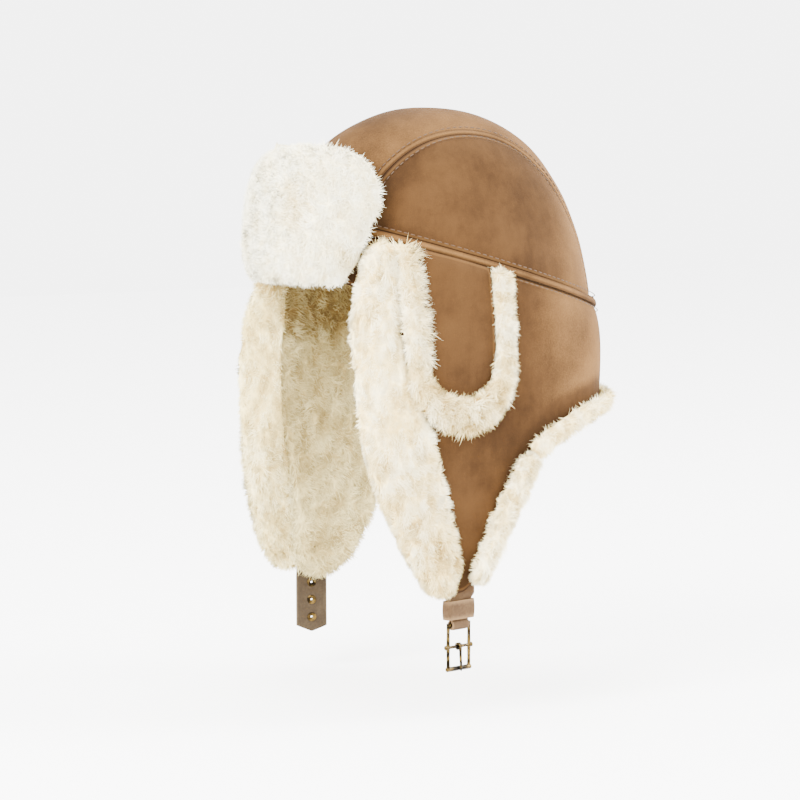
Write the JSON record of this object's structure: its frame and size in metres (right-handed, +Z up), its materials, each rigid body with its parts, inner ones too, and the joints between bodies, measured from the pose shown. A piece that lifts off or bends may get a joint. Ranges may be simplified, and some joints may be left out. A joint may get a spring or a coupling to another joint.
{
  "type": "sheepskin aviator hat",
  "caption": "Tan suede aviator hat with cream fleece inside, a turned-up fleece visor, U-shaped ear tabs, long ear flaps, and a chin strap with a pin buckle.",
  "frame": {"origin": "the middle of the head opening, level with the brow edge, where the head's widest level passes through it", "axes": "+Z up, -Y the way the wearer looks, +X the wearer's left, on the side of the buckle"},
  "size_m": [0.2234, 0.2468, 0.344],
  "materials": {
    "suede": "brushed suede",
    "fleece": "deep curly fleece",
    "strap_leather": "matt",
    "antique_brass": "aged"
  },
  "bodies": {
    "hat": {"crown_strip": "suede", "crown_side_left": "suede", "crown_side_right": "suede", "crown_fleece": "fleece", "ear_nape_panel": "suede", "brow_fleece": "fleece", "flap_fleece_left": "fleece", "flap_fleece_right": "fleece", "nape_fleece": "fleece", "front_cuff_left": "fleece", "front_cuff_right": "fleece", "rear_cuff_left": "fleece", "rear_cuff_right": "fleece", "nape_cuff": "fleece", "seam_welt": "suede", "visor_skin": "suede", "visor_fleece": "fleece", "ear_tab_left": "suede", "ear_tab_right": "suede", "ear_tab_trim_left": "fleece", "ear_tab_trim_right": "fleece", "buckle_strap": "strap_leather", "strap_keeper": "strap_leather", "free_strap": "strap_leather"},
    "frame": {"buckle_frame": "antique_brass"},
    "prong": {"buckle_prong": "antique_brass"}
  },
  "joints": [
    {"name": "buckle_swing", "type": "hinge", "parent": "hat", "child": "frame", "pos_m": [0.09464, -0.03217, -0.207], "axis": [-0.2588, 0.9659, 0], "range_deg": [-80, 80]},
    {"name": "prong_swing", "type": "hinge", "parent": "frame", "child": "prong", "pos_m": [0.09464, -0.03217, -0.2205], "axis": [0.2588, -0.9659, 0], "range_deg": [0, 100]}
  ]
}
